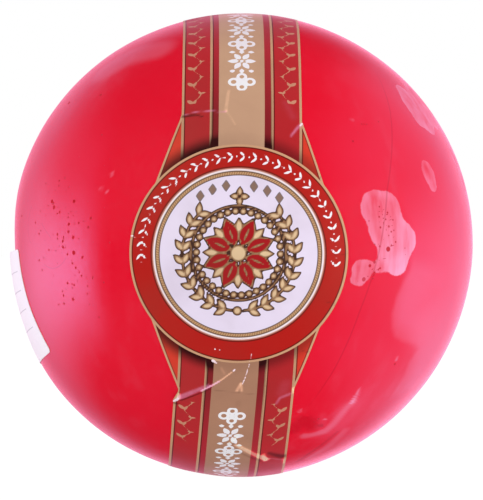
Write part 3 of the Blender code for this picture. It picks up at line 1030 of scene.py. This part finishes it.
def add_sticker():
    """The sticker: a thin sheet that lies on the wax and spans the dent."""
    width, height = sticker_plan(30, 45)
    middle = unit(STICKER_AZIMUTH, STICKER_LEVEL)
    level = np.cross([0, 0, 1.0], middle)
    level /= np.linalg.norm(level)
    upright = np.cross(middle, level)
    tilt = math.radians(STICKER_TILT)
    sideways = level * math.cos(tilt) + upright * math.sin(tilt)
    upwards = np.cross(middle, sideways)
    flat = (middle * BALL_RADIUS + upwards * height.ravel()[:, None]
            + sideways * (width - STICKER_SLANT * height).ravel()[:, None])
    ways = flat / np.linalg.norm(flat, axis=1, keepdims=True)
    stuck = wax_radius(ways) + wax_relief(ways) + 0.00005
    bridged = 0.5 * (stuck + STICKER_BRIDGE + np.hypot(stuck - STICKER_BRIDGE, 0.0003))
    front = (STICKER_WIDTH / 2 - width.ravel()) * MM
    radius = stuck + (bridged - stuck) * ease(front, 1.0, 11.0)
    points = np.concatenate([place(ways, radius + 0.00018), place(ways, radius)])
    rows, lanes = width.shape
    index = np.arange(rows * lanes).reshape(rows, lanes)
    quad = np.stack([index[:-1, :-1], index[:-1, 1:], index[1:, 1:], index[1:, :-1]],
                    axis=-1).reshape(-1, 4)
    rim = np.concatenate([index[0], index[1:, -1], index[-1, -2::-1], index[-2:0:-1, 0]])
    after = np.roll(rim, -1)
    edge = np.stack([after, rim, rim + index.size, after + index.size], axis=-1)
    quads = np.concatenate([quad, quad[:, ::-1] + index.size, edge])
    plan = np.stack([width.ravel() * MM, height.ravel() * MM, width.ravel() * 0], axis=-1)
    piece = add_mesh("white_sticker", points, quads, {"sticker": np.concatenate([plan, plan])})
    piece.data.set_sharp_from_angle(angle=math.radians(50))
    piece.data.materials.append(sticker_material())
    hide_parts("side_sticker")
    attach(piece, "root")
    return piece


# ---------------------------------------------------------------- the studio

EVEN_LIGHT = 0.68
SCREEN_TINT = (1.5, 1.3, 2.2, 1.0)
BEHIND_TINT = (3.0, 1.2, 1.9, 1.0)


def add_floor():
    """A plain pale floor."""
    bpy.ops.mesh.primitive_plane_add(size=60.0, location=(0, 0, 0))
    floor = bpy.context.object
    floor.name = "floor"
    inks = Inks("floor")
    inks.set(Base_Color=(0.05, 0.05, 0.05, 1), Roughness=1.0, Specular_IOR_Level=0.0)
    inks.set(Emission_Color=(1, 1, 1, 1), Emission_Strength=1.0)
    floor.data.materials.append(inks.material)
    floor.visible_glossy = False
    floor.visible_diffuse = False
    floor.visible_shadow = False


def add_softbox(name, azimuth, height, away, width, tall, power):
    """A soft lamp that faces the ball and isn't mirrored in it."""
    lamp = bpy.data.lights.new(name, "AREA")
    lamp.shape = "RECTANGLE"
    lamp.size, lamp.size_y, lamp.energy = width, tall, power
    piece = bpy.data.objects.new(name, lamp)
    way = Vector(unit(azimuth, height).tolist())
    piece.location = Vector(CENTRE.tolist()) + way * away
    piece.rotation_euler = way.to_track_quat("Z", "Y").to_euler()
    piece.visible_camera = False
    piece.visible_glossy = False
    bpy.context.scene.collection.objects.link(piece)
    return piece


def mirrored_studio(sky):
    """Brightness and colour of the screens that the wax mirrors, by direction."""
    where = sky.node("ShaderNodeTexCoord").outputs["Generated"]
    split = sky.node("ShaderNodeSeparateXYZ")
    sky.feed(split.inputs[0], where)
    x, y, z = split.outputs
    turn = sky.maths("ARCTAN2", x, sky.maths("MULTIPLY", y, -1.0))
    azimuth = sky.maths("MULTIPLY", turn, math.degrees(1))
    height = sky.maths("MULTIPLY", sky.maths("ARCSINE", z), math.degrees(1))

    def off(value, middle):
        return sky.maths("ABSOLUTE", sky.maths("SUBTRACT", value, middle))

    def times(*values):
        total = values[0]
        for value in values[1:]:
            total = sky.maths("MULTIPLY", total, value)
        return total

    # The screen on the left: round, brightest near its front edge
    bend = sky.maths("MULTIPLY", sky.maths("POWER", off(height, -4.0), 2.0), 0.004)
    front = sky.step(sky.maths("ADD", azimuth, bend), -69.0, -90.0)
    left = times(front, sky.step(azimuth, -150.0, -92.0, 0.0, 2.2),
                 sky.step(off(height, -8.0), 33.0, 0.0))
    around = times(front, sky.step(off(height, 3.0), 48.0, 16.0, 0.0, 0.34))
    # The screen on the right: a rounded corner low in front, fading upwards and backwards
    low = sky.maths("MAXIMUM", sky.maths("SUBTRACT", -18.5, height), 0.0)
    fore = sky.maths("MAXIMUM", sky.maths("SUBTRACT", 98.0, azimuth), 0.0)
    corner = sky.maths("SQRT", sky.maths("MULTIPLY_ADD", low, low, times(fore, fore)))
    right = times(sky.step(corner, 11.5, 5.0), sky.step(height, 24.0, -8.0),
                  sky.step(azimuth, 95.0, 150.0, 0.85, 0.12))
    reach = sky.maths("ADD", off(height, -2.0), sky.step(azimuth, 125.0, 165.0, 0.0, 22.0))
    beside = times(sky.step(azimuth, 30.0, 85.0), sky.step(reach, 68.0, 34.0, 0.0, 0.44))
    strip = times(sky.step(off(height, -50.0), 8.0, 3.0), sky.step(azimuth, 158.0, 145.0),
                  sky.step(azimuth, 100.0, 130.0, 0.0, 0.22))
    total = 0.03
    for part in (left, around, right, beside, strip):
        total = sky.maths("ADD", part, total)
    return total, sky.mix(sky.step(y, 0.72, 0.97), SCREEN_TINT, BEHIND_TINT)


def add_world():
    """White behind the ball, even light on it, and screens for its wax to mirror."""
    world = bpy.data.worlds.new("studio")
    world.use_nodes = True
    bpy.context.scene.world = world
    sky = Nodes(world.node_tree)
    even = world.node_tree.nodes["Background"]
    even.inputs["Color"].default_value = (1, 1, 1, 1)
    even.inputs["Strength"].default_value = EVEN_LIGHT
    screens = sky.node("ShaderNodeBackground")
    brightness, tint = mirrored_studio(sky)
    sky.feed(screens.inputs["Color"], tint)
    sky.feed(screens.inputs["Strength"], brightness)
    pale = sky.node("ShaderNodeBackground")
    pale.inputs["Color"].default_value = (1, 1, 1, 1)
    pale.inputs["Strength"].default_value = 1.0
    ray = sky.node("ShaderNodeLightPath")
    lit = sky.node("ShaderNodeMixShader")
    sky.feed(lit.inputs[0], ray.outputs["Is Glossy Ray"])
    sky.feed(lit.inputs[1], even.outputs[0])
    sky.feed(lit.inputs[2], screens.outputs[0])
    seen = sky.node("ShaderNodeMixShader")
    sky.feed(seen.inputs[0], ray.outputs["Is Camera Ray"])
    sky.feed(seen.inputs[1], lit.outputs[0])
    sky.feed(seen.inputs[2], pale.outputs[0])
    sky.feed(world.node_tree.nodes["World Output"].inputs["Surface"], seen.outputs[0])


def add_camera():
    """Level with the ball, in front of it, with a long lens."""
    lens = bpy.data.cameras.new("camera")
    lens.lens, lens.sensor_width = 240.0, 36.0
    camera = bpy.data.objects.new("camera", lens)
    camera.location = (-0.0001, -1.076, CENTRE[2] - 0.0017)
    camera.rotation_euler = (math.radians(90), 0, 0)
    bpy.context.scene.collection.objects.link(camera)
    bpy.context.scene.camera = camera


def main():
    """Dress the frame and set the studio."""
    add_wax()
    add_label()
    add_sticker()
    add_floor()
    add_softbox("left", -50, 28, 2.0, 1.8, 1.8, 13)
    add_softbox("low left", -60, -45, 2.0, 1.8, 1.8, 7)
    add_softbox("right", 68, 0, 2.0, 1.8, 1.8, 24)
    add_world()
    add_camera()
    bpy.context.scene.view_settings.view_transform = "Standard"


main()
